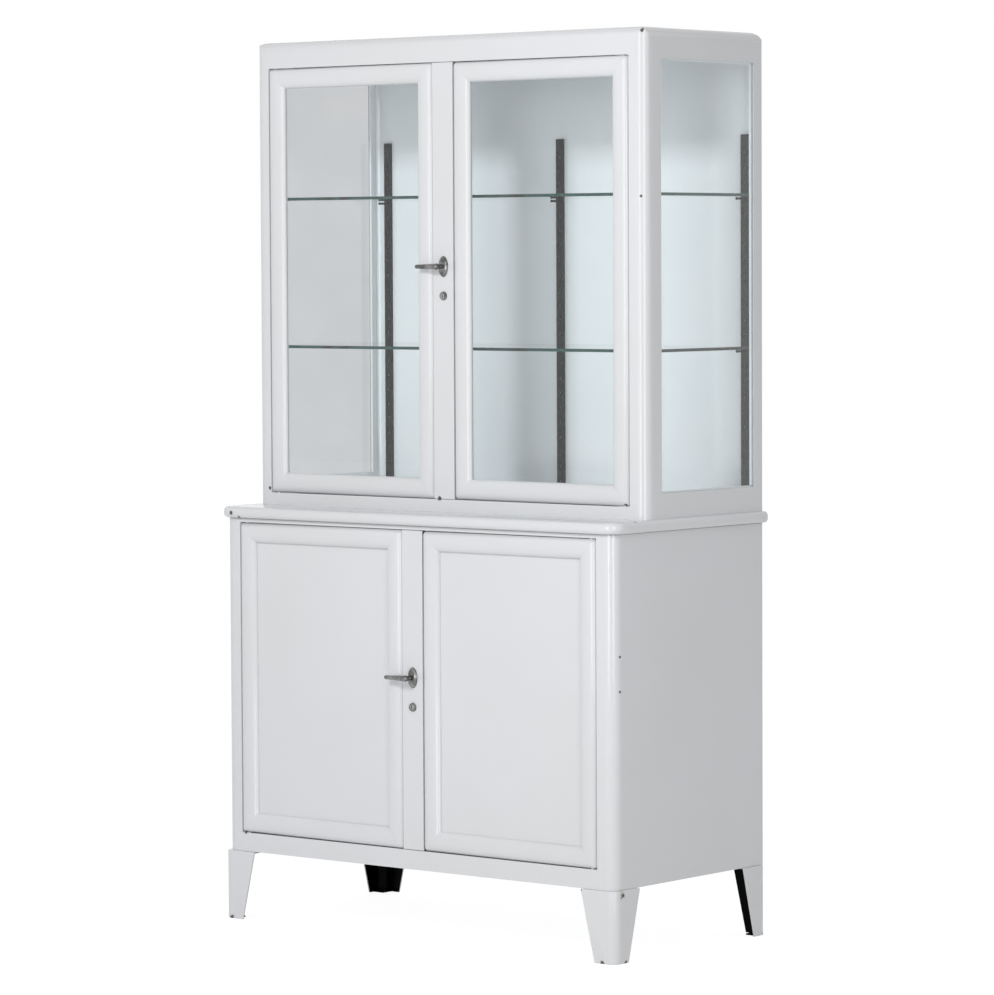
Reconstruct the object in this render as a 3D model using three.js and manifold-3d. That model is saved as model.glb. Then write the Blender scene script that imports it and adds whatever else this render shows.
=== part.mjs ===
// Two-part steel medical cabinet: glazed upper case on a worktop over a lower case with steel doors.
// Millimetres, +Z up, front towards -Y, origin under the middle of the bounding box.
import * as THREE from 'three';
import { mergeVertices } from 'three/addons/utils/BufferGeometryUtils.js';
import Module from 'manifold-3d';

const wasm = await Module();
wasm.setup();

// Overall sizes
const CASE_W = 1000;
const LOWER_D = 480;
const UPPER_D = 380;
const LEG_H = 140;
const LOWER_H = 678;
const TOP_T = 23;
const UPPER_H = 939;
const OVERHANG = 12;

// Sheet and edges
const SHEET = 2;
const CORNER_R = 24;
const REAR_R = 3.5;
const ROOF_R = 20;
const TOP_EDGE_R = 9;
const TOP_FLANGE = 20;
const FIT = 0.3;

// Front frames: what is left of the case face round each pair of doors
const UPPER_STILE = 39;
const UPPER_SILL = 25.5;
const UPPER_HEAD = 54;
const LOWER_STILE = 43;
const LOWER_SILL = 39.5;
const LOWER_HEAD = 9;
const DOOR_GAP = 1.2;
const RETURN_D = 24;
const STOP_H = 8;
const STOP_SHORT = 48;
const CLOSING_X = 27;

// Door moulding, measured from the door's outer edge (w) and from the case face (y)
const MOULD_W = 40;
const CROWN = 6;
const PIVOT_W = 14;
const PIVOT_Y = 6;
const FLAT_W = 6;
const SKIN = 2;
const DOOR_BACK = 14;
const DOOR_CORNER_R = 8;
const MITRE_R = 0.8;
const PIN_R = 3;
const PIN_OUT = 5;
const PIN_IN = 12;

// Glass
const GLASS_T = 4;
const GLASS_LAP = 7;
const SHELF_T = 6;

// Side windows of the upper case
const WINDOW_FRONT = 52;
const WINDOW_REAR = 29;
const WINDOW_LOW = 49;
const WINDOW_HIGH = 60;
const PANE_LAP = 9;
const BEAD_W = 12;
const BEAD_T = 5;

// Meeting strip, lock and handle
const STRIP_T = 2.7;
const STRIP_GAP = 1.7;
const TONGUE_T = 2;
const LOCK_SPREAD = 58;
const LOWER_LOCK_DROP = 4;
const LOCK_W = 40;
const LOCK_D = 15;
const LOCK_H = 150;
const LOCK_WALL = 1.5;
const HUB_R = 7;
const HUB_T = 6;
const SPINDLE = 6;
const ROD_W = 5;
const ROD_T = 4;
const ROD_RUN = 11;
const ROSETTE_W = 24;
const ROSETTE_H = 42;
const ROSETTE_T = 6;
const NECK_R = 4.5;
const LEVER_REACH = 54;
const LEVER_OUT = 23;
const ELBOW_R = 6.5;
const LEVER_TIP_R = 4;
const CYLINDER_R = 9;
const BARREL_R = 7;
const PLUG_R = 5.2;
const CYLINDER_PROUD = 3;

// Shelf standards and pegs
const STANDARD_W = 16;
const STANDARD_D = 8;
const STANDARD_T = 1.5;
const STANDARD_HEADROOM = 198;
const STANDARD_FOOT = 6;
const HOLE_PITCH = 30;
const HOLE_R = 2.9;
const PEG_R = 2.2;
const PEG_COLLAR_R = 3.4;
const PEG_TIP_R = 3;
const PEG_REACH = 24;
const PEG_TAIL = 4;
const BACK_STANDARD_INSET = 38;
const FRONT_STANDARD_Y = 32;
const UPPER_PEG_DROP = 324;
const SHELF_STEPS = 10;
const HOLE_COUNT = 23;
const TOP_HOLE_STEPS = 3;
const SHELF_SIDE_GAP = 11;
const SHELF_FRONT = 28;
const SHELF_REAR_GAP = 16;
const BACK_CURVE_R = 15;

// Lower shelf and legs
const LOWER_SHELF_RISE = 340;
const LOWER_SHELF_EDGE = 25;
const RAIL_W = 20;
const RAIL_FRONT = 60;
const RAIL_REAR = 40;
const TRAY_GAP = 3;
const TRAY_FRONT = 16;
const TRAY_REAR = 10;
const EDGE_SHORT = 6;
const LEG_FRONT_TOP_W = 83;
const LEG_FRONT_FOOT_W = 50;
const LEG_SIDE_TOP_W = 78;
const LEG_SIDE_FOOT_W = 42;
const LEG_CORNER_R = 20;
const LEG_EDGE_R = 2;
const LEG_T = 3;
const LEG_PROUD = 5;
const FOOT_TAB = 30;
const RIM = 30;

// Levels and planes that follow from the sizes above
const HALF_W = CASE_W / 2;
const LOWER_TOP = LEG_H + LOWER_H;
const UPPER_BASE = LOWER_TOP + TOP_T;
const UPPER_TOP = UPPER_BASE + UPPER_H;
const UPPER_FRONT = LOWER_D - UPPER_D;
const FRONT_MOST = -(LEVER_OUT + ELBOW_R);
const REAR_MOST = LOWER_D + LEG_PROUD;
const SHIFT_Y = -(FRONT_MOST + REAR_MOST) / 2;
const STANDARD_TOP = UPPER_TOP - STANDARD_HEADROOM;
const UPPER_PEG_Z = UPPER_TOP - UPPER_PEG_DROP;
const BACK_STANDARD_X = HALF_W - BACK_STANDARD_INSET;
const LOWER_SHELF_Z = LEG_H + LOWER_SHELF_RISE;
const BIG = 4 * UPPER_TOP;

// Turn a three.js geometry into a solid
function solid(geometry) {
  const plain = geometry.clone();
  plain.deleteAttribute('normal');
  plain.deleteAttribute('uv');
  const merged = mergeVertices(plain, 1e-4);
  return new wasm.Manifold(new wasm.Mesh({
    numProp: 3,
    vertProperties: new Float32Array(merged.attributes.position.array),
    triVerts: new Uint32Array(merged.index.array),
  }));
}

// A box between two corners
function box(x0, x1, y0, y1, z0, z1) {
  const geometry = new THREE.BoxGeometry(x1 - x0, y1 - y0, z1 - z0);
  geometry.translate((x0 + x1) / 2, (y0 + y1) / 2, (z0 + z1) / 2);
  return solid(geometry);
}

// A rod of the given radii from one point along a direction
function rod(start, direction, length, r0, r1 = r0, segments = 16) {
  const geometry = new THREE.CylinderGeometry(r1, r0, length, segments);
  geometry.translate(0, length / 2, 0);
  const turn = new THREE.Quaternion();
  turn.setFromUnitVectors(new THREE.Vector3(0, 1, 0), direction.clone().normalize());
  geometry.applyQuaternion(turn);
  geometry.translate(start.x, start.y, start.z);
  return solid(geometry);
}

function ball(centre, radius, scale = new THREE.Vector3(1, 1, 1), around = 16) {
  const geometry = new THREE.SphereGeometry(radius, around, Math.round(around * 0.6));
  geometry.scale(scale.x, scale.y, scale.z);
  geometry.translate(centre.x, centre.y, centre.z);
  return solid(geometry);
}

// A rectangle in plan with its own radius for the front and the rear corners
function planShape(x0, x1, y0, y1, frontR, rearR) {
  const shape = new THREE.Shape();
  shape.moveTo(x0 + frontR, y0);
  shape.lineTo(x1 - frontR, y0);
  shape.absarc(x1 - frontR, y0 + frontR, frontR, -Math.PI / 2, 0, false);
  shape.lineTo(x1, y1 - rearR);
  shape.absarc(x1 - rearR, y1 - rearR, rearR, 0, Math.PI / 2, false);
  shape.lineTo(x0 + rearR, y1);
  shape.absarc(x0 + rearR, y1 - rearR, rearR, Math.PI / 2, Math.PI, false);
  shape.lineTo(x0, y0 + frontR);
  shape.absarc(x0 + frontR, y0 + frontR, frontR, Math.PI, Math.PI * 1.5, false);
  return shape;
}

// An upright block over a plan, with rounded rims at both ends when a rim radius is given
function upright(shape, z0, z1, rim = 0) {
  const geometry = new THREE.ExtrudeGeometry(shape, {
    depth: z1 - z0 - 2 * rim,
    curveSegments: 5,
    bevelEnabled: rim > 0,
    bevelThickness: rim,
    bevelSize: rim,
    bevelOffset: -rim,
    bevelSegments: 3,
  });
  geometry.translate(0, 0, z0 + rim);
  return solid(geometry);
}

// A slab lying between y0 and y1, drawn by its outline in the X-Z plane
function slabXZ(points, y0, y1) {
  const shape = new THREE.Shape(points.map(([x, z]) => new THREE.Vector2(x, z)));
  const geometry = new THREE.ExtrudeGeometry(shape, { depth: y1 - y0, bevelEnabled: false });
  geometry.rotateX(Math.PI / 2);
  geometry.translate(0, y1, 0);
  return solid(geometry);
}

// A slab lying between x0 and x1, drawn by its outline in the Y-Z plane
function slabYZ(points, x0, x1) {
  const shape = new THREE.Shape(points.map(([y, z]) => new THREE.Vector2(y, z)));
  const geometry = new THREE.ExtrudeGeometry(shape, { depth: x1 - x0, bevelEnabled: false });
  geometry.rotateX(Math.PI / 2);
  geometry.rotateZ(Math.PI / 2);
  geometry.translate(x0, 0, 0);
  return solid(geometry);
}

// A rectangular ring in the X-Z plane with one moulding run round it.
// Each profile point is [inset from the outer edge, y]; the corners turn on a small radius.
function ring(profile, x0, x1, z0, z1, cornerR) {
  const perCorner = 3;
  const segments = 4 * perCorner;
  const half = Math.PI / segments;
  const reach = Math.cos(half);
  const closed = [...profile, profile[0]];
  const radii = closed.map(([inset]) => Math.max(cornerR - inset, MITRE_R));
  const points = closed.map(([, y], i) => new THREE.Vector2(radii[i], y));
  const geometry = new THREE.LatheGeometry(points, segments, half);
  const position = geometry.attributes.position;
  for (let i = 0; i < position.count; i += 1) {
    const j = i % closed.length;
    const shiftX = (x1 - x0) / 2 - closed[j][0] - radii[j] * reach;
    const shiftZ = (z1 - z0) / 2 - closed[j][0] - radii[j] * reach;
    const x = position.getX(i);
    const z = position.getZ(i);
    position.setX(i, x + Math.sign(x) * shiftX + (x0 + x1) / 2);
    position.setZ(i, z + Math.sign(z) * shiftZ + (z0 + z1) / 2);
  }
  const body = solid(geometry);
  return body.volume() > 0 ? body : solid(flipped(geometry));
}

// The same surface with its faces turned round
function flipped(geometry) {
  const copy = geometry.clone();
  const index = Array.from(copy.index.array);
  for (let i = 0; i < index.length; i += 3) {
    [index[i + 1], index[i + 2]] = [index[i + 2], index[i + 1]];
  }
  copy.setIndex(index);
  return copy;
}

// Points on an ellipse from one angle to another, in degrees
function arc(cw, cy, rw, ry, from, to, steps) {
  const points = [];
  for (let i = 0; i <= steps; i += 1) {
    const angle = THREE.MathUtils.degToRad(from + ((to - from) * i) / steps);
    points.push([cw + rw * Math.cos(angle), cy + ry * Math.sin(angle)]);
  }
  return points;
}

const at = (x, y, z) => new THREE.Vector3(x, y, z);
const X_OUT = at(1, 0, 0);
const Y_OUT = at(0, 1, 0);
const Z_OUT = at(0, 0, 1);

// Materials
const paint = { color: 0xe9ebec, metalness: 0, roughness: 0.3 };
const nickel = { color: 0x8d8f90, metalness: 1, roughness: 0.25 };
const steel = { color: 0x4a4c4b, metalness: 1, roughness: 0.45 };
const glass = { color: 0xcfdfe0, metalness: 0, roughness: 0.05, transparent: true, opacity: 0.35 };

const cabinet = new THREE.Group();
cabinet.name = 'medical_cabinet';

function add(name, body, material) {
  const mesh = body.getMesh();
  const geometry = new THREE.BufferGeometry();
  const count = mesh.vertProperties.length / mesh.numProp;
  const positions = new Float32Array(count * 3);
  for (let i = 0; i < count; i += 1) {
    for (let k = 0; k < 3; k += 1) {
      positions[3 * i + k] = mesh.vertProperties[mesh.numProp * i + k];
    }
  }
  geometry.setAttribute('position', new THREE.BufferAttribute(positions, 3));
  geometry.setIndex(Array.from(mesh.triVerts));
  geometry.translate(0, SHIFT_Y, 0);
  geometry.computeVertexNormals();
  const node = new THREE.Mesh(geometry, new THREE.MeshStandardMaterial(material));
  node.name = name;
  cabinet.add(node);
}

// The two pairs of doors share one layout; each pair has its own face plane and opening
function pairLayout(face, stile, sillZ, headZ, lockDrop) {
  return {
    face,
    edge: HALF_W - stile,
    z0: sillZ,
    z1: headZ,
    middle: (sillZ + headZ) / 2 - lockDrop,
    pivotX: HALF_W - stile - PIVOT_W,
    pivotY: face + PIVOT_Y,
  };
}
const upper = pairLayout(UPPER_FRONT, UPPER_STILE, UPPER_BASE + UPPER_SILL, UPPER_TOP - UPPER_HEAD, 0);
const lower = pairLayout(0, LOWER_STILE, LEG_H + LOWER_SILL, LOWER_TOP - LOWER_HEAD, LOWER_LOCK_DROP);
const ROD_X = HUB_R + FIT + ROD_W / 2;
const ROD_Y = STRIP_T + FIT + TONGUE_T + FIT + LOCK_D / 2;

// Face opening, folded returns, door stops, pivot holes and rod keepers for one pair of doors
function frontFrame(shell, pair) {
  const x = pair.edge + DOOR_GAP;
  const low = pair.z0 - DOOR_GAP;
  const high = pair.z1 + DOOR_GAP;
  const back = pair.face + RETURN_D;
  let body = shell.subtract(box(-x, x, pair.face - 1, pair.face + SHEET + 1, low, high));
  const returns = box(-x - SHEET, x + SHEET, pair.face + SHEET / 2, back, low - SHEET, high + SHEET);
  body = body.add(returns.subtract(box(-x, x, pair.face - 1, back + 1, low, high)));
  const stopX = x - STOP_SHORT;
  body = body.add(box(-stopX, stopX, back - SHEET, back, low - SHEET, low + STOP_H));
  body = body.add(box(-stopX, stopX, back - SHEET, back, high - STOP_H, high + SHEET));
  for (const side of [-1, 1]) {
    const pin = at(side * pair.pivotX, pair.pivotY, low - PIN_OUT - 3);
    body = body.subtract(rod(pin, Z_OUT, PIN_OUT + 3 + 1, PIN_R + FIT, PIN_R + FIT, 12));
    pin.z = high - 1;
    body = body.subtract(rod(pin, Z_OUT, PIN_OUT + 3, PIN_R + FIT, PIN_R + FIT, 12));
  }
  const keepW = ROD_W / 2 + 1;
  const keepT = ROD_T / 2 + 1;
  const rodY = pair.face + ROD_Y;
  const keeper = (x0, z0, z1) => box(x0 - keepW, x0 + keepW, rodY - keepT, rodY + keepT, z0, z1);
  body = body.subtract(keeper(ROD_X, high - 1, high + ROD_RUN + 1));
  return body.subtract(keeper(-ROD_X, low - ROD_RUN - 1, low + 1));
}

// Rim left round the open back, which the back panel lies against
function openBack(shell, z0, z1) {
  const inner = HALF_W - RIM;
  return shell.subtract(box(-inner, inner, LOWER_D - SHEET - 1, LOWER_D + 1, z0 + RIM, z1 - RIM));
}

// Lower case
function lowerCase() {
  const outer = upright(planShape(-HALF_W, HALF_W, 0, LOWER_D, CORNER_R, REAR_R), LEG_H, LOWER_TOP);
  const wall = HALF_W - SHEET;
  const innerR = CORNER_R - SHEET;
  const plan = planShape(-wall, wall, SHEET, LOWER_D - SHEET, innerR, REAR_R - SHEET);
  let body = outer.subtract(upright(plan, LEG_H + SHEET, LOWER_TOP - SHEET));
  const rim = planShape(-HALF_W + RIM, HALF_W - RIM, RIM, LOWER_D - RIM, 4, 4);
  body = body.subtract(upright(rim, LEG_H - 1, LEG_H + SHEET + 1));
  body = body.subtract(upright(rim, LOWER_TOP - SHEET - 1, LOWER_TOP + 1));
  const floorZ = lower.z0 - DOOR_GAP;
  const floor = upright(plan, floorZ - SHEET, floorZ);
  body = body.add(floor.subtract(box(-BIG, BIG, LOWER_D - SHEET - PANEL_GAP, BIG, 0, BIG)));
  body = frontFrame(body, lower);
  for (const side of [-1, 1]) {
    const a = side * (wall + SHEET / 2);
    const b = side * (wall - RAIL_W);
    const rearEnd = LOWER_D - RAIL_REAR;
    const railZ = LOWER_SHELF_Z - SHEET;
    body = body.add(box(Math.min(a, b), Math.max(a, b), RAIL_FRONT, rearEnd, railZ, LOWER_SHELF_Z));
  }
  return openBack(body, LEG_H, LOWER_TOP);
}

// Outline of a block with its two upper corners rounded
function roundedTop(from, to, z0, z1, r) {
  const points = [[from, z0], [to, z0]];
  for (const [c, start] of [[to - r, 0], [from + r, 90]]) {
    points.push(...arc(c, z1 - r, r, r, start, start + 90, 5));
  }
  return points;
}

// Upper block set in from the outside by the given amount, rounded along every roof edge
function roofedBlock(inset, z0) {
  const x = HALF_W - inset;
  const y0 = UPPER_FRONT + inset;
  const y1 = LOWER_D - inset;
  const z1 = UPPER_TOP - inset;
  const r = ROOF_R - inset;
  const block = upright(planShape(-x, x, y0, y1, CORNER_R - inset, REAR_R - inset), z0, z1);
  const alongY = slabXZ(roundedTop(-x, x, z0 - 1, z1, r), y0 - 1, y1 + 1);
  const alongX = slabYZ(roundedTop(y0, y1, z0 - 1, z1, r), -x - 1, x + 1);
  return block.intersect(alongY).intersect(alongX);
}

// Upper case: rounded roof, windows in both sides, raised floor
function upperCase() {
  const outer = roofedBlock(0, UPPER_BASE);
  const inner = roofedBlock(SHEET, UPPER_BASE + SHEET);
  let body = outer.subtract(inner);
  const rim = planShape(-HALF_W + RIM, HALF_W - RIM, UPPER_FRONT + RIM, LOWER_D - RIM, 4, 4);
  body = body.subtract(upright(rim, UPPER_BASE - 1, UPPER_BASE + SHEET + 1));
  const floorZ = upper.z0 - DOOR_GAP;
  const floor = inner.intersect(box(-BIG, BIG, -BIG, LOWER_D - SHEET - PANEL_GAP, floorZ - SHEET, floorZ));
  body = body.add(floor);
  body = frontFrame(body, upper);
  const y0 = UPPER_FRONT + WINDOW_FRONT;
  const y1 = LOWER_D - WINDOW_REAR;
  body = body.subtract(box(-BIG, BIG, y0, y1, UPPER_BASE + WINDOW_LOW, UPPER_TOP - WINDOW_HIGH));
  return openBack(body, UPPER_BASE, UPPER_TOP);
}

// Back panels lie inside the rear rim
const PANEL_GAP = SHEET + 2 * FIT;
function backPanel(z0, z1, sideGap) {
  const x = HALF_W - SHEET - sideGap;
  return box(-x, x, LOWER_D - SHEET - FIT - SHEET, LOWER_D - SHEET - FIT, z0, z1);
}

// The back of the upper case curves forward at both ends to meet the sides
function curvedBack(z0, z1) {
  const x = HALF_W - SHEET - FIT;
  const rear = LOWER_D - SHEET - FIT;
  const outerR = BACK_CURVE_R + SHEET;
  const outer = upright(planShape(-x, x, rear - 2 * outerR, rear, SHEET, outerR), z0, z1);
  const wall = x - SHEET;
  const hollow = planShape(-wall, wall, rear - 3 * outerR, rear - SHEET, SHEET, BACK_CURVE_R);
  const bent = outer.subtract(upright(hollow, z0 - 1, z1 + 1));
  return bent.intersect(box(-BIG, BIG, rear - outerR, BIG, 0, BIG));
}

// Worktop: a folded pan with rounded edges, cut square at the back, open underneath inside its flange
function worktop() {
  const plan = (inset) => planShape(
    -HALF_W - OVERHANG + inset, HALF_W + OVERHANG - inset, -OVERHANG + inset, LOWER_D + 2 * CORNER_R,
    CORNER_R + OVERHANG - inset, CORNER_R);
  const before = (inset) => box(-BIG, BIG, -BIG, LOWER_D - inset, 0, BIG);
  const outer = upright(plan(0), LOWER_TOP, UPPER_BASE, TOP_EDGE_R).intersect(before(0));
  const inner = upright(plan(SHEET), LOWER_TOP + SHEET, UPPER_BASE - SHEET, TOP_EDGE_R - SHEET);
  const mouth = upright(plan(TOP_FLANGE), LOWER_TOP - 1, LOWER_TOP + SHEET + 1);
  return outer.subtract(inner.intersect(before(SHEET))).subtract(mouth.intersect(before(TOP_FLANGE)));
}

const PANEL_LAP = 10;
const upperFloorZ = upper.z0 - DOOR_GAP;
add('lower_case', lowerCase(), paint);
add('lower_back_panel', backPanel(LEG_H + RIM - PANEL_LAP, LOWER_TOP - RIM + PANEL_LAP, REAR_R), paint);
add('worktop', worktop(), paint);
add('upper_case', upperCase(), paint);
add('upper_back_panel', curvedBack(upperFloorZ + FIT, UPPER_TOP - ROOF_R - SHEET), paint);

// Lower shelf: a tray folded down at its edges, resting on the two side rails
const trayX = HALF_W - SHEET - TRAY_GAP;
const trayY0 = RETURN_D + TRAY_FRONT;
const trayY1 = LOWER_D - TRAY_REAR;
const trayZ = LOWER_SHELF_Z + FIT;
const edgeX = trayX - RAIL_W - EDGE_SHORT;
let tray = box(-trayX, trayX, trayY0, trayY1, trayZ, trayZ + SHEET);
for (const y of [trayY0, trayY1 - SHEET]) {
  tray = tray.add(box(-edgeX, edgeX, y, y + SHEET, trayZ - LOWER_SHELF_EDGE, trayZ + SHEET / 2));
}
add('lower_shelf', tray, paint);

// Side panes and the beads that hold them
for (const [word, side] of [['left', -1], ['right', 1]]) {
  const y0 = UPPER_FRONT + WINDOW_FRONT - PANE_LAP;
  const y1 = LOWER_D - WINDOW_REAR + PANE_LAP;
  const z0 = UPPER_BASE + WINDOW_LOW - PANE_LAP;
  const z1 = UPPER_TOP - WINDOW_HIGH + PANE_LAP;
  const outer = HALF_W - SHEET - FIT;
  const span = (near, far) => [Math.min(side * near, side * far), Math.max(side * near, side * far)];
  const [px0, px1] = span(outer, outer - GLASS_T);
  add(`side_pane_${word}`, box(px0, px1, y0, y1, z0, z1), glass);
  const beadOuter = outer - GLASS_T - FIT;
  const [bx0, bx1] = span(beadOuter, beadOuter - BEAD_T);
  let bead = box(bx0, bx1, y0, y1, z0, z1);
  bead = bead.subtract(box(bx0 - 1, bx1 + 1, y0 + BEAD_W, y1 - BEAD_W, z0 + BEAD_W, z1 - BEAD_W));
  add(`side_bead_${word}`, bead, paint);
}

// Pressed moulding of every door, as a skin
const mouldProfile = [
  [0, DOOR_BACK],
  ...arc(PIVOT_W, PIVOT_Y, PIVOT_W, CROWN + PIVOT_Y, 180, 270, 5),
  ...arc(PIVOT_W + FLAT_W, PIVOT_Y, MOULD_W - PIVOT_W - FLAT_W, CROWN + PIVOT_Y, 270, 360, 5),
  ...arc(PIVOT_W + FLAT_W, PIVOT_Y, MOULD_W - PIVOT_W - FLAT_W - SKIN, CROWN + PIVOT_Y - SKIN, 360, 270, 5),
  ...arc(PIVOT_W, PIVOT_Y, PIVOT_W - SKIN, CROWN + PIVOT_Y - SKIN, 270, 180, 5),
  [SKIN, DOOR_BACK],
];

function doorSpan(pair, side) {
  return side < 0 ? [-pair.edge, -CLOSING_X] : [CLOSING_X, pair.edge];
}

// Door frame with its pivot pins; the left one carries the tongue behind the meeting strip
function doorFrame(pair, side) {
  const [x0, x1] = doorSpan(pair, side);
  const profile = mouldProfile.map(([w, y]) => [w, y + pair.face]);
  let body = ring(profile, x0, x1, pair.z0, pair.z1, DOOR_CORNER_R);
  const pin = at(side * pair.pivotX, pair.pivotY, pair.z0 - PIN_OUT);
  body = body.add(rod(pin, Z_OUT, PIN_OUT + PIN_IN, PIN_R, PIN_R, 12));
  pin.z = pair.z1 - PIN_IN;
  body = body.add(rod(pin, Z_OUT, PIN_OUT + PIN_IN, PIN_R, PIN_R, 12));
  if (side < 0) {
    const y0 = pair.face + STRIP_T + FIT;
    let tongue = box(x1 - SKIN / 2, CLOSING_X - STRIP_GAP, y0, y0 + TONGUE_T + 0.5, pair.z0 + 9, pair.z1 - 9);
    tongue = tongue.add(box(x1 - SKIN * 0.75, x1 + 1, y0, pair.face + DOOR_BACK, pair.z0 + 9, pair.z1 - 9));
    tongue = tongue.subtract(lockHoles(pair));
    body = body.add(tongue);
  }
  return body;
}

// Holes through strip and tongue for the handle's spindle and the lock's barrel
function lockHoles(pair) {
  const handle = rod(at(0, pair.face - 10, pair.middle + LOCK_SPREAD / 2), Y_OUT, 40, NECK_R + FIT);
  const barrel = rod(at(0, pair.face - 10, pair.middle - LOCK_SPREAD / 2), Y_OUT, 40, BARREL_R + FIT);
  return handle.add(barrel);
}

function lapPane(pair, side, y0, thickness, lap) {
  const [x0, x1] = doorSpan(pair, side);
  const inset = MOULD_W - lap;
  const front = pair.face + y0;
  return box(x0 + inset, x1 - inset, front, front + thickness, pair.z0 + inset, pair.z1 - inset);
}

const PANE_Y = PIVOT_Y + FIT;
const COVER_Y = PANE_Y + GLASS_T + FIT;
const COVER_INSET = SKIN + FIT;

function coverRing(pair, side, insetFrom, insetTo) {
  const [x0, x1] = doorSpan(pair, side);
  const y0 = pair.face + COVER_Y;
  const y1 = y0 + SKIN;
  const profile = [[insetFrom, y0], [insetTo, y0], [insetTo, y1], [insetFrom, y1]];
  return ring(profile, x0, x1, pair.z0, pair.z1, DOOR_CORNER_R);
}

for (const [word, side] of [['left', -1], ['right', 1]]) {
  add(`upper_door_frame_${word}`, doorFrame(upper, side), paint);
  add(`upper_door_pane_${word}`, lapPane(upper, side, PANE_Y, GLASS_T, GLASS_LAP), glass);
  add(`upper_door_cover_${word}`, coverRing(upper, side, COVER_INSET, MOULD_W - 1.5), paint);
  add(`lower_door_frame_${word}`, doorFrame(lower, side), paint);
  const wallInset = MOULD_W - GLASS_LAP;
  let pan = lapPane(lower, side, PANE_Y, SKIN, GLASS_LAP);
  const [x0, x1] = doorSpan(lower, side);
  const y0 = lower.face + PANE_Y + SKIN / 2;
  const y1 = lower.face + COVER_Y + SKIN;
  const step = [[wallInset, y0], [wallInset + SKIN, y0], [wallInset + SKIN, y1], [wallInset, y1]];
  pan = pan.add(ring(step, x0, x1, lower.z0, lower.z1, DOOR_CORNER_R));
  pan = pan.add(coverRing(lower, side, COVER_INSET, wallInset + 1));
  add(`lower_door_panel_${word}`, pan, paint);
}

// Rosette: a low oval dome on the strip
function rosette(pair, z) {
  const scale = at(1, (2 * ROSETTE_T) / ROSETTE_W, ROSETTE_H / ROSETTE_W);
  const dome = ball(at(0, pair.face - FIT, z), ROSETTE_W / 2, scale);
  const front = dome.subtract(box(-BIG, BIG, pair.face - FIT, BIG, -BIG, BIG));
  return front.subtract(rod(at(0, pair.face - 20, z), Y_OUT, 40, NECK_R + FIT));
}

// Lever: square spindle, round neck, rounded elbow and a tapering arm towards the hinge side
function lever(pair, z) {
  const hubY = pair.face + STRIP_T + TONGUE_T + 4 * FIT + LOCK_D / 2 + HUB_T / 2;
  const neckEnd = pair.face + STRIP_T + TONGUE_T + 2 * FIT;
  const elbow = at(0, pair.face - LEVER_OUT, z);
  let body = rod(elbow, Y_OUT, neckEnd - elbow.y, NECK_R);
  body = body.add(box(-SPINDLE / 2, SPINDLE / 2, neckEnd - 1, hubY, z - SPINDLE / 2, z + SPINDLE / 2));
  body = body.add(ball(elbow, ELBOW_R));
  const arm = rod(elbow, X_OUT.clone().negate(), LEVER_REACH - LEVER_TIP_R, ELBOW_R - 0.6, LEVER_TIP_R);
  body = body.add(arm);
  return body.add(ball(at(-LEVER_REACH + LEVER_TIP_R, elbow.y, z), LEVER_TIP_R));
}

function lockHub(pair, z) {
  const y0 = pair.face + ROD_Y - HUB_T / 2;
  const disc = rod(at(0, y0, z), Y_OUT, HUB_T, HUB_R, HUB_R, 24);
  const half = SPINDLE / 2 + FIT / 2;
  return disc.subtract(box(-half, half, y0 - 1, y0 + HUB_T + 1, z - half, z + half));
}

// Lock case: a shallow pan behind the tongue, open towards it, with slots for the rods
function lockCase(pair) {
  const y0 = pair.face + STRIP_T + TONGUE_T + 0.5 + 2 * FIT;
  const y1 = y0 + LOCK_D + 2;
  const z0 = pair.middle - LOCK_H / 2;
  const z1 = pair.middle + LOCK_H / 2;
  const x = LOCK_W / 2;
  const inner = box(-x + LOCK_WALL, x - LOCK_WALL, y0 - 1, y1 - LOCK_WALL, z0 + LOCK_WALL, z1 - LOCK_WALL);
  let body = box(-x, x, y0, y1, z0, z1).subtract(inner);
  const slotW = ROD_W / 2 + FIT;
  const slotT = ROD_T / 2 + FIT;
  const y = pair.face + ROD_Y;
  body = body.subtract(box(ROD_X - slotW, ROD_X + slotW, y - slotT, y + slotT, z1 - 3, z1 + 1));
  return body.subtract(box(-ROD_X - slotW, -ROD_X + slotW, y - slotT, y + slotT, z0 - 1, z0 + 3));
}

function lockRod(pair, handleZ, up) {
  const x = up * ROD_X;
  const y = pair.face + ROD_Y;
  const near = handleZ - up * (HUB_R + 2);
  const far = up > 0 ? pair.z1 - 1 : pair.z0 + 1;
  return box(
    x - ROD_W / 2, x + ROD_W / 2, y - ROD_T / 2, y + ROD_T / 2, Math.min(near, far), Math.max(near, far));
}

function lockCylinder(pair, z) {
  const front = at(0, pair.face - FIT - CYLINDER_PROUD, z);
  const rim = rod(front, Y_OUT, CYLINDER_PROUD, CYLINDER_R - 1, CYLINDER_R, 24);
  const barrel = rod(at(0, pair.face - FIT - 1, z), Y_OUT, 16, BARREL_R, BARREL_R, 20);
  return rim.add(barrel).subtract(rod(at(0, pair.face - 20, z), Y_OUT, 60, PLUG_R + FIT, PLUG_R + FIT, 20));
}

function lockPlug(pair, z) {
  const front = pair.face - FIT - CYLINDER_PROUD - 0.6;
  const plug = rod(at(0, front, z), Y_OUT, 15, PLUG_R, PLUG_R, 20);
  return plug.subtract(box(-0.8, 0.8, front - 1, front + 8, z - 3.6, z + 3.6));
}

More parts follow.
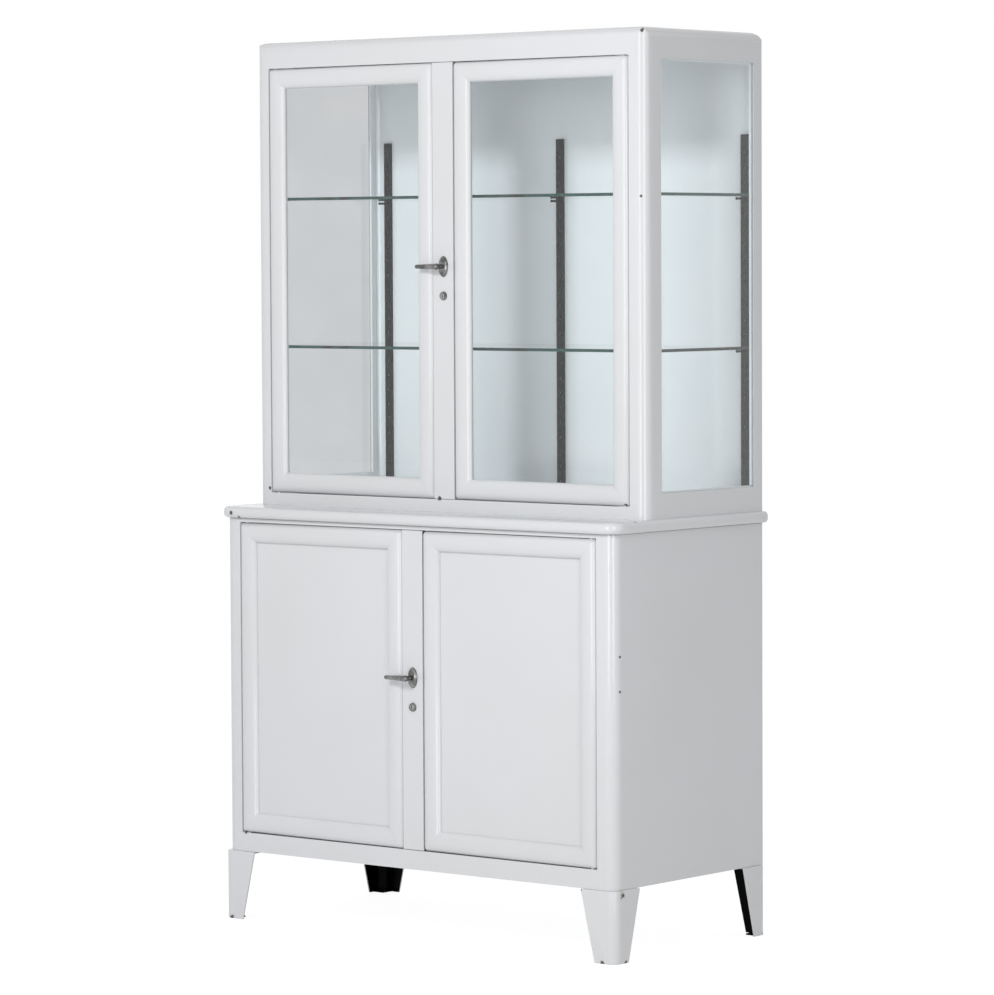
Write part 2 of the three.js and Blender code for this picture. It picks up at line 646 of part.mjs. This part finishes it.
for (const [word, pair] of [['upper', upper], ['lower', lower]]) {
  const handleZ = pair.middle + LOCK_SPREAD / 2;
  const keyZ = pair.middle - LOCK_SPREAD / 2;
  const stripX0 = -CLOSING_X + 0.4;
  const stripX1 = CLOSING_X - STRIP_GAP;
  const strip = box(stripX0, stripX1, pair.face, pair.face + STRIP_T, pair.z0, pair.z1);
  add(`${word}_strip`, strip.subtract(lockHoles(pair)), paint);
  add(`${word}_rosette`, rosette(pair, handleZ), nickel);
  add(`${word}_lever`, lever(pair, handleZ), nickel);
  add(`${word}_lock_hub`, lockHub(pair, handleZ), steel);
  add(`${word}_lock_case`, lockCase(pair), steel);
  add(`${word}_rod_up`, lockRod(pair, handleZ, 1), steel);
  add(`${word}_rod_down`, lockRod(pair, handleZ, -1), steel);
  add(`${word}_lock_cylinder`, lockCylinder(pair, keyZ), nickel);
  add(`${word}_lock_plug`, lockPlug(pair, keyZ), nickel);
}

// Perforated standard: a channel against a wall, its holes facing along the given direction
const topHole = UPPER_PEG_Z + TOP_HOLE_STEPS * HOLE_PITCH;
const standardFoot = upper.z0 - DOOR_GAP + STANDARD_FOOT;
function standard(wall, facing) {
  const side = at(facing.y, facing.x, 0);
  const half = STANDARD_W / 2;
  const block = (a0, a1, d0, d1, z0, z1) => {
    const p = wall.clone().addScaledVector(side, a0).addScaledVector(facing, d0);
    const q = wall.clone().addScaledVector(side, a1).addScaledVector(facing, d1);
    return box(Math.min(p.x, q.x), Math.max(p.x, q.x), Math.min(p.y, q.y), Math.max(p.y, q.y), z0, z1);
  };
  let body = block(-half, half, 0, STANDARD_D, standardFoot, STANDARD_TOP);
  body = body.subtract(block(
    -half + STANDARD_T, half - STANDARD_T, -1, STANDARD_D - STANDARD_T, standardFoot - 1, STANDARD_TOP + 1));
  for (let i = 0; i < HOLE_COUNT; i += 1) {
    const start = wall.clone().addScaledVector(facing, STANDARD_D / 2).setZ(topHole - i * HOLE_PITCH);
    body = body.subtract(rod(start, facing, STANDARD_D, HOLE_R, HOLE_R, 6));
  }
  return body;
}

// Shelf peg: a stem through a hole, a collar against the standard and a ball at its end
function peg(wall, facing, z) {
  const start = wall.clone().addScaledVector(facing, STANDARD_D - STANDARD_T - PEG_TAIL).setZ(z);
  let body = rod(start, facing, PEG_TAIL + STANDARD_T + PEG_REACH, PEG_R, PEG_R, 10);
  const face = wall.clone().addScaledVector(facing, STANDARD_D + FIT).setZ(z);
  body = body.add(rod(face, facing, 2, PEG_COLLAR_R, PEG_COLLAR_R, 10));
  const tip = wall.clone().addScaledVector(facing, STANDARD_D + PEG_REACH).setZ(z);
  return body.add(ball(tip, PEG_TIP_R, at(1, 1, 1), 8));
}

const backWall = LOWER_D - 2 * SHEET - 2 * FIT;
const sideWall = HALF_W - SHEET - FIT;
const places = [
  ['back_left', at(-BACK_STANDARD_X, backWall, 0), at(0, -1, 0)],
  ['back_middle', at(0, backWall, 0), at(0, -1, 0)],
  ['back_right', at(BACK_STANDARD_X, backWall, 0), at(0, -1, 0)],
  ['front_left', at(-sideWall, UPPER_FRONT + FRONT_STANDARD_Y, 0), at(1, 0, 0)],
  ['front_right', at(sideWall, UPPER_FRONT + FRONT_STANDARD_Y, 0), at(-1, 0, 0)],
];
const lowerPegZ = UPPER_PEG_Z - SHELF_STEPS * HOLE_PITCH;
for (const [word, wall, facing] of places) {
  add(`standard_${word}`, standard(wall, facing), steel);
  add(`peg_high_${word}`, peg(wall, facing, UPPER_PEG_Z), steel);
  add(`peg_low_${word}`, peg(wall, facing, lowerPegZ), steel);
}
for (const [word, pegZ] of [['high', UPPER_PEG_Z], ['low', lowerPegZ]]) {
  const x = HALF_W - SHEET - SHELF_SIDE_GAP;
  const z = pegZ + PEG_COLLAR_R + FIT;
  const y1 = LOWER_D - SHEET - SHELF_REAR_GAP;
  add(`glass_shelf_${word}`, box(-x, x, UPPER_FRONT + SHELF_FRONT, y1, z, z + SHELF_T), glass);
}

// The same solid mirrored through the planes whose sign is negative, then moved along Y
function mirrored(body, signs, shiftY = 0) {
  const mesh = body.getMesh();
  const corners = new Float32Array(mesh.vertProperties);
  for (let i = 0; i < corners.length; i += 3) {
    corners[i] *= signs.x;
    corners[i + 1] = corners[i + 1] * signs.y + shiftY;
    corners[i + 2] *= signs.z;
  }
  const faces = new Uint32Array(mesh.triVerts);
  if (signs.x * signs.y * signs.z < 0) {
    for (let i = 0; i < faces.length; i += 3) {
      [faces[i + 1], faces[i + 2]] = [faces[i + 2], faces[i + 1]];
    }
  }
  return new wasm.Manifold(new wasm.Mesh({ numProp: 3, vertProperties: corners, triVerts: faces }));
}

// Leg: two tapering wings folded round the corner, a plate under the case and a foot tab
function leg(sideX, rear) {
  const out = HALF_W + LEG_PROUD;
  const front = -LEG_PROUD;
  const top = LEG_H - FIT;
  const far = 2 * LEG_FRONT_TOP_W;
  const innerR = LEG_CORNER_R - LEG_T;
  const outerPlan = planShape(out - far, out, front, front + far, LEG_CORNER_R, LEG_CORNER_R);
  const innerPlan = planShape(out - 2 * far, out - LEG_T, front + LEG_T, front + 2 * far, innerR, innerR);
  const corner = upright(outerPlan, 0, top, LEG_EDGE_R);
  const below = -LEG_T;
  const above = top + LEG_T;
  const frontWing = slabXZ([
    [out - LEG_FRONT_FOOT_W, below], [out + far, below], [out + far, above],
    [out - LEG_FRONT_TOP_W, above], [out - LEG_FRONT_TOP_W, top], [out - LEG_FRONT_FOOT_W, 0],
  ], front - far, front + 2 * far);
  const sideWing = slabYZ([
    [front - far, below], [front + LEG_SIDE_FOOT_W, below], [front + LEG_SIDE_FOOT_W, 0],
    [front + LEG_SIDE_TOP_W, top], [front + LEG_SIDE_TOP_W, above], [front - far, above],
  ], out - 2 * far, out + far);
  let body = corner.subtract(upright(innerPlan, below, above)).intersect(frontWing).intersect(sideWing);
  const plate = (sizeX, sizeY, z0, z1) => corner.intersect(
    box(out - sizeX, out + far, front - far, front + sizeY, z0, z1));
  body = body.add(plate(LEG_FRONT_TOP_W - LEG_T, LEG_SIDE_TOP_W - LEG_T, top - LEG_T, top));
  body = body.add(plate(FOOT_TAB, FOOT_TAB, 0, LEG_T));
  return mirrored(body, at(sideX, rear ? -1 : 1, 1), rear ? LOWER_D : 0);
}
add('leg_front_left', leg(-1, false), paint);
add('leg_front_right', leg(1, false), paint);
add('leg_rear_left', leg(-1, true), paint);
add('leg_rear_right', leg(1, true), paint);

export default cabinet;
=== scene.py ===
"""Looks of the glass door medical cabinet: enamel, glass, nickel, steel, studio light and camera."""

import math

import bpy
from mathutils import Matrix, Vector


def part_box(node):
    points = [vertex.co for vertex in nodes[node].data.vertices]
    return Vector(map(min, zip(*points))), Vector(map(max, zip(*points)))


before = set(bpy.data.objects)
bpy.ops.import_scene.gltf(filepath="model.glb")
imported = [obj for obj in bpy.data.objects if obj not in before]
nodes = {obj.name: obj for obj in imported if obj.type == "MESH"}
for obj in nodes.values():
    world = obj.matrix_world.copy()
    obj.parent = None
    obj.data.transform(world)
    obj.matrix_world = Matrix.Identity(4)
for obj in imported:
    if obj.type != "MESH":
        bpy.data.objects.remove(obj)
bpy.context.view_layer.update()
scene = bpy.context.scene

# Camera found by fitting the cabinet's edges to the photograph
PHOTO_WIDTH = 994.0
FOCAL_PIXELS = 4436.6
SENSOR_MM = 36.0
CAMERA_PLACE = (5.6425, -6.8261, 1.3493)
CAMERA_YAW = math.radians(39.434)
CAMERA_PITCH = math.radians(-3.141)
CAMERA_ROLL = math.radians(-0.274)

# Edges turning more than this stay sharp
SHARP_DEGREES = 32.0

# Vertices closer than this are joined before shading, in metres
WELD_GAP = 0.00002

# Light of the world on the object, glow of the floor to the camera, and its share of the floor's shading
SKY_LEVEL = 0.42
FLOOR_GLOW = 1.17
FLOOR_SHARE = 0.8
FLOOR_WIDTH = 30.0
FLOOR_DROP = 0.0005
FLOOR_COLOUR = (0.9, 0.9, 0.9, 1.0)
FLOOR_ROUGHNESS = 0.9

# Lamps: name, place, target, width and height in metres, power in watts, seen in reflections
LAMPS = [
    ("key_lamp", (0.48, -3.40, 2.90), (0.0, 0.0, 1.2), 0.5, 0.5, 50.0, False),
    ("strip_softbox", (1.40, -3.76, 1.6), (0.0, 0.0, 1.5), 0.9, 2.8, 29.0, True),
    ("side_softbox", (3.40, -2.12, 1.6), (0.0, 0.0, 1.5), 0.8, 2.8, 23.0, True),
]

# Weight and roughness of the clear gloss on the enamel
COAT = 0.4
COAT_ROUGHNESS = 0.12

# Enamel colours, each fresh and aged; the inner enamel is painted lighter than the outer, as painted light
# inside the case
OUTER_FRESH = (0.69, 0.70, 0.725, 1.0)
OUTER_AGED = (0.667, 0.677, 0.69, 1.0)
INNER_LIT_FRESH = (0.86, 0.905, 0.93, 1.0)
INNER_LIT_AGED = (0.835, 0.882, 0.91, 1.0)

# Colours of wear: specks, the rim of a chip and its bare steel; then painted shade: a shadow line in the
# worktop's seam and the shade inside a leg
SPECK_COLOUR = (0.34, 0.31, 0.27, 1.0)
RIM_COLOUR = (0.45, 0.38, 0.3, 1.0)
BARE_COLOUR = (0.055, 0.05, 0.047, 1.0)
SEAM_SHADOW_COLOUR = (0.06, 0.058, 0.055, 1.0)
LEG_PAINTED_SHADE = (0.003, 0.003, 0.003, 1.0)

# Metal colours, each clean and dull
NICKEL_CLEAN = (0.27, 0.27, 0.265, 1.0)
NICKEL_DULL = (0.085, 0.085, 0.083, 1.0)
PLUG_CLEAN = (0.50, 0.50, 0.49, 1.0)
PLUG_DULL = (0.24, 0.24, 0.235, 1.0)
STEEL_CLEAN = (0.022, 0.024, 0.023, 1.0)
STEEL_DULL = (0.012, 0.013, 0.0125, 1.0)

# Glass tints: smeared and wiped clear
CLEAR = (0.985, 0.995, 0.995, 1.0)
PANE_TINT = (0.955, 0.975, 0.98, 1.0)
# Painted shade: the left pane is tinted grey to stand in for the shade seen through the left side
GREY_SHADE_TINT = (0.57, 0.575, 0.59, 1.0)
GREY_SHADE_WIPED = (0.60, 0.605, 0.62, 1.0)
SHELF_TINT = (0.93, 0.965, 0.955, 1.0)
SHELF_EDGE = (0.006, 0.08, 0.062, 1.0)
GLASS_IOR = 1.45

# Leg sheet and the rounded corner that it is folded to, in metres
LEG_SHEET = 0.003
LEG_CORNER = 0.020
LEG_NAMES = ("leg_front_left", "leg_front_right", "leg_rear_left", "leg_rear_right")

# Half the height of the painted shadow line in the seam under the worktop
SEAM_SHADOW_HALF = 0.0011

# Places where the enamel is chipped to the steel: x, y, z and radius in metres
CHIPS = [
    (0.4910, -0.1225, 1.7732, 0.0040),
    (0.4887, -0.1241, 1.4581, 0.0026),
    (0.4531, -0.1278, 0.8690, 0.0030),
    (0.5080, -0.1678, 0.8440, 0.0050),
    (-0.0135, -0.1278, 0.8668, 0.0042),
    (-0.4667, -0.1278, 0.8741, 0.0032),
    (-0.4486, -0.2278, 0.1790, 0.0035),
    (-0.4718, -0.2397, 0.8282, 0.0040),
    (-0.4527, -0.2397, 0.8187, 0.0045),
    (0.4996, -0.2079, 0.5857, 0.0026),
    (0.4996, -0.2082, 0.5191, 0.0026),
    (0.4992, -0.2098, 0.1310, 0.0075),
    (0.4214, -0.2308, 0.1371, 0.0035),
    (0.4740, -0.2308, 0.0010, 0.0050),
    (0.5030, -0.1998, 0.0010, 0.0045),
    (-0.4850, -0.2308, 0.0010, 0.0060),
    (0.5030, 0.2490, 0.0010, 0.0070),
]


def add_node(tree, kind, **values):
    """A shader node with its plain properties set."""
    node = tree.nodes.new(kind)
    for name, value in values.items():
        setattr(node, name, value)
    return node


def link(tree, source, target):
    tree.links.new(source, target)


def new_group(name, outputs):
    """An empty shader group from a vector to named values, and its input and output nodes."""
    group = bpy.data.node_groups.new(name, "ShaderNodeTree")
    group.interface.new_socket("Vector", in_out="INPUT", socket_type="NodeSocketVector")
    for label in outputs:
        group.interface.new_socket(label, in_out="OUTPUT", socket_type="NodeSocketFloat")
    return group, add_node(group, "NodeGroupInput"), add_node(group, "NodeGroupOutput")


def maths(tree, operation, first, second=None):
    """A math node; arguments are sockets or numbers."""
    node = add_node(tree, "ShaderNodeMath", operation=operation)
    for index, value in enumerate((first, second)):
        if value is None:
            continue
        if isinstance(value, (int, float)):
            node.inputs[index].default_value = value
        else:
            link(tree, value, node.inputs[index])
    return node.outputs[0]


def noise(tree, vector, scale, detail=4.0, rough=0.55):
    node = add_node(tree, "ShaderNodeTexNoise")
    node.inputs["Scale"].default_value = scale
    node.inputs["Detail"].default_value = detail
    node.inputs["Roughness"].default_value = rough
    link(tree, vector, node.inputs["Vector"])
    return node.outputs["Fac"]


def remap(tree, value, low, high, out_low=0.0, out_high=1.0):
    node = add_node(tree, "ShaderNodeMapRange", interpolation_type="SMOOTHSTEP")
    for name, number in (("From Min", low), ("From Max", high), ("To Min", out_low), ("To Max", out_high)):
        node.inputs[name].default_value = number
    link(tree, value, node.inputs["Value"])
    return node.outputs["Result"]


def mix_colour(tree, factor, first, second):
    node = add_node(tree, "ShaderNodeMix", data_type="RGBA")
    sockets = (node.inputs[0], node.inputs[6], node.inputs[7])
    for socket, value in zip(sockets, (factor, first, second)):
        if isinstance(value, (int, float, tuple)):
            socket.default_value = value
        else:
            link(tree, value, socket)
    return node.outputs[2]


def chip_group():
    """Mask of the chipped places, 1 on bare steel, with ragged edges."""
    group, start, end = new_group("Chips", ("Chip", "Rim"))
    ragged = noise(group, start.outputs["Vector"], 260.0, 3.0)
    nearest = None
    for x, y, z, radius in CHIPS:
        gap = add_node(group, "ShaderNodeVectorMath", operation="DISTANCE")
        link(group, start.outputs["Vector"], gap.inputs[0])
        gap.inputs[1].default_value = (x, y, z)
        level = maths(group, "DIVIDE", gap.outputs["Value"], radius)
        nearest = level if nearest is None else maths(group, "MINIMUM", nearest, level)
    swing = maths(group, "MULTIPLY", maths(group, "SUBTRACT", ragged, 0.5), 1.6)
    wobble = maths(group, "ADD", nearest, swing)
    link(group, remap(group, wobble, 0.92, 1.08, 1.0, 0.0), end.inputs["Chip"])
    link(group, remap(group, wobble, 1.05, 1.7, 1.0, 0.0), end.inputs["Rim"])
    return group


def patina_group():
    """Slow colour drift, fine specks and a low bump that old stoved enamel has."""
    group, start, end = new_group("Patina", ("Drift", "Speck", "Height"))
    vector = start.outputs["Vector"]
    link(group, noise(group, vector, 2.2, 3.0), end.inputs["Drift"])
    speck = noise(group, vector, 210.0, 2.0, 0.4)
    link(group, remap(group, speck, 0.73, 0.78), end.inputs["Speck"])
    wave = maths(group, "MULTIPLY", noise(group, vector, 14.0, 2.0), 0.6)
    peel = maths(group, "MULTIPLY", noise(group, vector, 420.0, 2.0), 0.12)
    link(group, maths(group, "ADD", wave, peel), end.inputs["Height"])
    return group


def leg_shade_group():
    """Mask of the painted shade inside the folded legs: 1 behind their rounded outer face and under their
    top.
    """
    group, start, end = new_group("LegPaintedShade", ("Inside",))
    lows = [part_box(name)[0] for name in LEG_NAMES]
    highs = [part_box(name)[1] for name in LEG_NAMES]
    split = add_node(group, "ShaderNodeSeparateXYZ")
    link(group, start.outputs["Vector"], split.inputs[0])
    squares = []
    for axis in (0, 1):
        low = min(corner[axis] for corner in lows)
        high = max(corner[axis] for corner in highs)
        flat = (high - low) / 2 - LEG_CORNER
        offset = maths(group, "SUBTRACT", split.outputs[axis], (low + high) / 2)
        beyond = maths(group, "SUBTRACT", maths(group, "ABSOLUTE", offset), flat)
        past = maths(group, "MAXIMUM", beyond, 0.0)
        squares.append(maths(group, "MULTIPLY", past, past))
    reach = maths(group, "SQRT", maths(group, "ADD", squares[0], squares[1]))
    depth = maths(group, "SUBTRACT", LEG_CORNER, reach)
    behind = remap(group, depth, 0.75 * LEG_SHEET, 0.95 * LEG_SHEET)
    top = highs[0][2]
    under = remap(group, split.outputs["Z"], top - 0.6 * LEG_SHEET, top - 0.3 * LEG_SHEET, 1.0, 0.0)
    link(group, maths(group, "MULTIPLY", behind, under), end.inputs["Inside"])
    return group


CHIP = chip_group()
PATINA = patina_group()
LEG_SHADE = leg_shade_group()


def place_group(tree, group, vector):
    node = add_node(tree, "ShaderNodeGroup", node_tree=group)
    link(tree, vector, node.inputs["Vector"])
    return node


def new_material(name):
    """A node material with its Principled shader and Object coordinates."""
    material = bpy.data.materials.new(name)
    material.use_nodes = True
    tree = material.node_tree
    shader = tree.nodes["Principled BSDF"]
    where = add_node(tree, "ShaderNodeTexCoord").outputs["Object"]
    return material, tree, shader, where


def bump(tree, shader, height, strength, distance):
    node = add_node(tree, "ShaderNodeBump")
    node.inputs["Strength"].default_value = strength
    node.inputs["Distance"].default_value = distance
    link(tree, height, node.inputs["Height"])
    link(tree, node.outputs["Normal"], shader.inputs["Normal"])


def seam_shadow_mask(tree, where):
    """1 on the painted shadow line in the seam between the worktop and the lower case."""
    seam_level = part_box("lower_case")[1][2]
    split = add_node(tree, "ShaderNodeSeparateXYZ")
    link(tree, where, split.inputs[0])
    gap = maths(tree, "ABSOLUTE", maths(tree, "SUBTRACT", split.outputs["Z"], seam_level))
    return remap(tree, gap, 0.6 * SEAM_SHADOW_HALF, SEAM_SHADOW_HALF, 0.8, 0.0)


def enamel_material(name, fresh, aged, on_leg=False):
    """Glossy stoved enamel with drift, specks and chips down to bare steel, a painted shadow line at the
    worktop's seam, and painted shade inside a leg.
    """
    material, tree, shader, where = new_material(name)
    patina = place_group(tree, PATINA, where)
    chips = place_group(tree, CHIP, where)
    chip = chips.outputs["Chip"]
    speck = maths(tree, "MULTIPLY", patina.outputs["Speck"], 0.12)
    rim = maths(tree, "MULTIPLY", chips.outputs["Rim"], 0.28)
    colour = mix_colour(tree, remap(tree, patina.outputs["Drift"], 0.3, 0.72), fresh, aged)
    colour = mix_colour(tree, speck, colour, SPECK_COLOUR)
    colour = mix_colour(tree, rim, colour, RIM_COLOUR)
    colour = mix_colour(tree, chip, colour, BARE_COLOUR)
    # Painted shadow: a dark line along the seam where the worktop meets the lower case
    colour = mix_colour(tree, seam_shadow_mask(tree, where), colour, SEAM_SHADOW_COLOUR)
    shader.inputs["Coat Weight"].default_value = COAT
    shader.inputs["Coat Roughness"].default_value = COAT_ROUGHNESS
    if on_leg:
        # Painted shade: black, uncoated metal inside the folded legs
        inside = place_group(tree, LEG_SHADE, where).outputs["Inside"]
        colour = mix_colour(tree, inside, colour, LEG_PAINTED_SHADE)
        lacquer = maths(tree, "MULTIPLY", maths(tree, "SUBTRACT", 1.0, inside), COAT)
        link(tree, lacquer, shader.inputs["Coat Weight"])
        link(tree, inside, shader.inputs["Metallic"])
    link(tree, colour, shader.inputs["Base Color"])
    gloss = remap(tree, patina.outputs["Drift"], 0.25, 0.75, 0.13, 0.21)
    rough = maths(tree, "ADD", gloss, maths(tree, "MULTIPLY", chip, 0.35))
    link(tree, rough, shader.inputs["Roughness"])
    pit = maths(tree, "MULTIPLY", chip, 1.5)
    bump(tree, shader, maths(tree, "SUBTRACT", patina.outputs["Height"], pit), 0.06, 0.0006)
    return material


def metal_material(name, clean, dull, rough_low, rough_high, grain):
    """Plated or plain metal, tarnished in patches with a fine grain."""
    material, tree, shader, where = new_material(name)
    patches = remap(tree, noise(tree, where, 60.0, 5.0, 0.65), 0.35, 0.68)
    fine = noise(tree, where, grain, 3.0)
    link(tree, mix_colour(tree, patches, clean, dull), shader.inputs["Base Color"])
    rough = remap(tree, fine, 0.3, 0.7, rough_low, rough_high)
    worn = maths(tree, "ADD", rough, maths(tree, "MULTIPLY", patches, 0.12))
    link(tree, worn, shader.inputs["Roughness"])
    shader.inputs["Metallic"].default_value = 1.0
    bump(tree, shader, fine, 0.15, 0.0002)
    return material


def glass_material(name, tint, wiped, edge_tint, rough):
    """Sheet glass with faint smears, and tinted cut edges if given; light passes to what is behind it."""
    material, tree, shader, where = new_material(name)
    smear = noise(tree, where, 7.0, 5.0, 0.6)
    link(tree, remap(tree, smear, 0.4, 0.75, 0.0, rough), shader.inputs["Roughness"])
    face = mix_colour(tree, remap(tree, smear, 0.3, 0.8), tint, wiped)
    if edge_tint:
        split = add_node(tree, "ShaderNodeSeparateXYZ")
        link(tree, add_node(tree, "ShaderNodeNewGeometry").outputs["True Normal"], split.inputs[0])
        upright = maths(tree, "ABSOLUTE", split.outputs["Z"])
        face = mix_colour(tree, remap(tree, upright, 0.3, 0.7), edge_tint, face)
    link(tree, face, shader.inputs["Base Color"])
    shader.inputs["Transmission Weight"].default_value = 1.0
    shader.inputs["IOR"].default_value = GLASS_IOR
    clear = add_node(tree, "ShaderNodeBsdfTransparent")
    clear.inputs["Color"].default_value = CLEAR
    path = add_node(tree, "ShaderNodeLightPath")
    blend = add_node(tree, "ShaderNodeMixShader")
    through = maths(tree, "MAXIMUM", path.outputs["Is Shadow Ray"], path.outputs["Is Diffuse Ray"])
    link(tree, through, blend.inputs[0])
    link(tree, shader.outputs[0], blend.inputs[1])
    link(tree, clear.outputs[0], blend.inputs[2])
    link(tree, blend.outputs[0], tree.nodes["Material Output"].inputs["Surface"])
    return material


ENAMEL = enamel_material("white_enamel", OUTER_FRESH, OUTER_AGED)
LEG = enamel_material("leg_enamel", OUTER_FRESH, OUTER_AGED, on_leg=True)
# Painted light: the same white enamel, painted lighter inside the case
LIT_INNER_ENAMEL = enamel_material("inner_enamel_painted_light", INNER_LIT_FRESH, INNER_LIT_AGED)
NICKEL = metal_material("worn_nickel", NICKEL_CLEAN, NICKEL_DULL, 0.08, 0.16, 900.0)
PLUG = metal_material("polished_plug", PLUG_CLEAN, PLUG_DULL, 0.10, 0.18, 900.0)
STEEL = metal_material("dark_steel", STEEL_CLEAN, STEEL_DULL, 0.38, 0.55, 700.0)
PANE = glass_material("pane_glass", PANE_TINT, CLEAR, None, 0.02)
# Painted shade: grey glass for the left side pane
GREY_SHADE_PANE = glass_material("grey_shade_pane_glass", GREY_SHADE_TINT, GREY_SHADE_WIPED, None, 0.02)
SHELF = glass_material("shelf_glass", SHELF_TINT, CLEAR, SHELF_EDGE, 0.015)


def dress(name, material):
    """Gives a CAD node its material and true shading: welded, smooth on curves, sharp at corners."""
    node = nodes[name]
    node.data.materials.clear()
    node.data.materials.append(material)
    bpy.ops.object.select_all(action="DESELECT")
    node.select_set(True)
    bpy.context.view_layer.objects.active = node
    bpy.ops.object.shade_smooth()
    weld = node.modifiers.new("weld", "WELD")
    weld.merge_threshold = WELD_GAP
    split = node.modifiers.new("corners", "EDGE_SPLIT")
    split.split_angle = math.radians(SHARP_DEGREES)


def material_for(name):
    if name == "side_pane_left":
        # The left side pane gets the grey glass of painted shade
        return GREY_SHADE_PANE
    if "_pane_" in name:
        return PANE
    if "glass_shelf" in name:
        return SHELF
    if name.startswith(("standard", "peg")):
        return STEEL
    if "_rod_" in name or "lock_hub" in name or "lock_case" in name:
        return STEEL
    if name.endswith("lock_plug"):
        return PLUG
    if name.endswith(("rosette", "lever", "lock_cylinder")):
        return NICKEL
    if name in LEG_NAMES:
        return LEG
    if "back_panel" in name or "bead" in name or name == "lower_shelf":
        return LIT_INNER_ENAMEL
    return ENAMEL


for node_name in list(nodes):
    dress(node_name, material_for(node_name))


def seen_directly(tree):
    """1 where the camera sees a surface itself, in a reflection or through glass."""
    path = add_node(tree, "ShaderNodeLightPath")
    mirrored = maths(tree, "MAXIMUM", path.outputs["Is Camera Ray"], path.outputs["Is Glossy Ray"])
    return maths(tree, "MAXIMUM", mirrored, path.outputs["Is Transmission Ray"])


def stage_material(name, level):
    """Plain pale surface that also glows where the camera, a reflection or glass shows it."""
    material = bpy.data.materials.new(name)
    material.use_nodes = True
    tree = material.node_tree
    shader = tree.nodes["Principled BSDF"]
    shader.inputs["Base Color"].default_value = FLOOR_COLOUR
    shader.inputs["Roughness"].default_value = FLOOR_ROUGHNESS
    glow = add_node(tree, "ShaderNodeEmission")
    glow.inputs["Strength"].default_value = level
    blend = add_node(tree, "ShaderNodeMixShader")
    link(tree, maths(tree, "MULTIPLY", seen_directly(tree), FLOOR_SHARE), blend.inputs[0])
    link(tree, shader.outputs[0], blend.inputs[1])
    link(tree, glow.outputs[0], blend.inputs[2])
    link(tree, blend.outputs[0], tree.nodes["Material Output"].inputs["Surface"])
    return material


bpy.ops.object.select_all(action="DESELECT")
bpy.ops.mesh.primitive_plane_add(size=FLOOR_WIDTH, location=(0.0, 0.0, -FLOOR_DROP))
floor = bpy.context.object
floor.name = "studio_floor"
floor.data.materials.append(stage_material("studio_white", FLOOR_GLOW))

world = bpy.data.worlds.new("studio_sky")
scene.world = world
world.use_nodes = True
sky_tree = world.node_tree
sky = sky_tree.nodes["Background"]
sky.inputs["Color"].default_value = (1.0, 1.0, 1.0, 1.0)
sky_strength = maths(sky_tree, "MAXIMUM", seen_directly(sky_tree), SKY_LEVEL)
link(sky_tree, sky_strength, sky.inputs["Strength"])


def area_light(name, place, target, width, height, power, reflected):
    """A rectangular lamp that faces its target."""
    data = bpy.data.lights.new(name, "AREA")
    data.energy = power
    data.shape = "RECTANGLE"
    data.size = width
    data.size_y = height
    lamp = bpy.data.objects.new(name, data)
    scene.collection.objects.link(lamp)
    lamp.location = place
    lamp.rotation_euler = (Vector(target) - Vector(place)).to_track_quat("-Z", "Y").to_euler()
    lamp.visible_glossy = reflected


for lamp_values in LAMPS:
    area_light(*lamp_values)

camera_data = bpy.data.cameras.new("camera")
camera_data.sensor_fit = "HORIZONTAL"
camera_data.sensor_width = SENSOR_MM
camera_data.lens = FOCAL_PIXELS * SENSOR_MM / PHOTO_WIDTH
camera_data.clip_end = 100.0
camera = bpy.data.objects.new("camera", camera_data)
scene.collection.objects.link(camera)
turn = (
    Matrix.Rotation(CAMERA_YAW, 4, "Z")
    @ Matrix.Rotation(math.pi / 2 + CAMERA_PITCH, 4, "X")
    @ Matrix.Rotation(CAMERA_ROLL, 4, "Z")
)
camera.matrix_world = Matrix.Translation(CAMERA_PLACE) @ turn
scene.camera = camera
scene.view_settings.view_transform = "Standard"
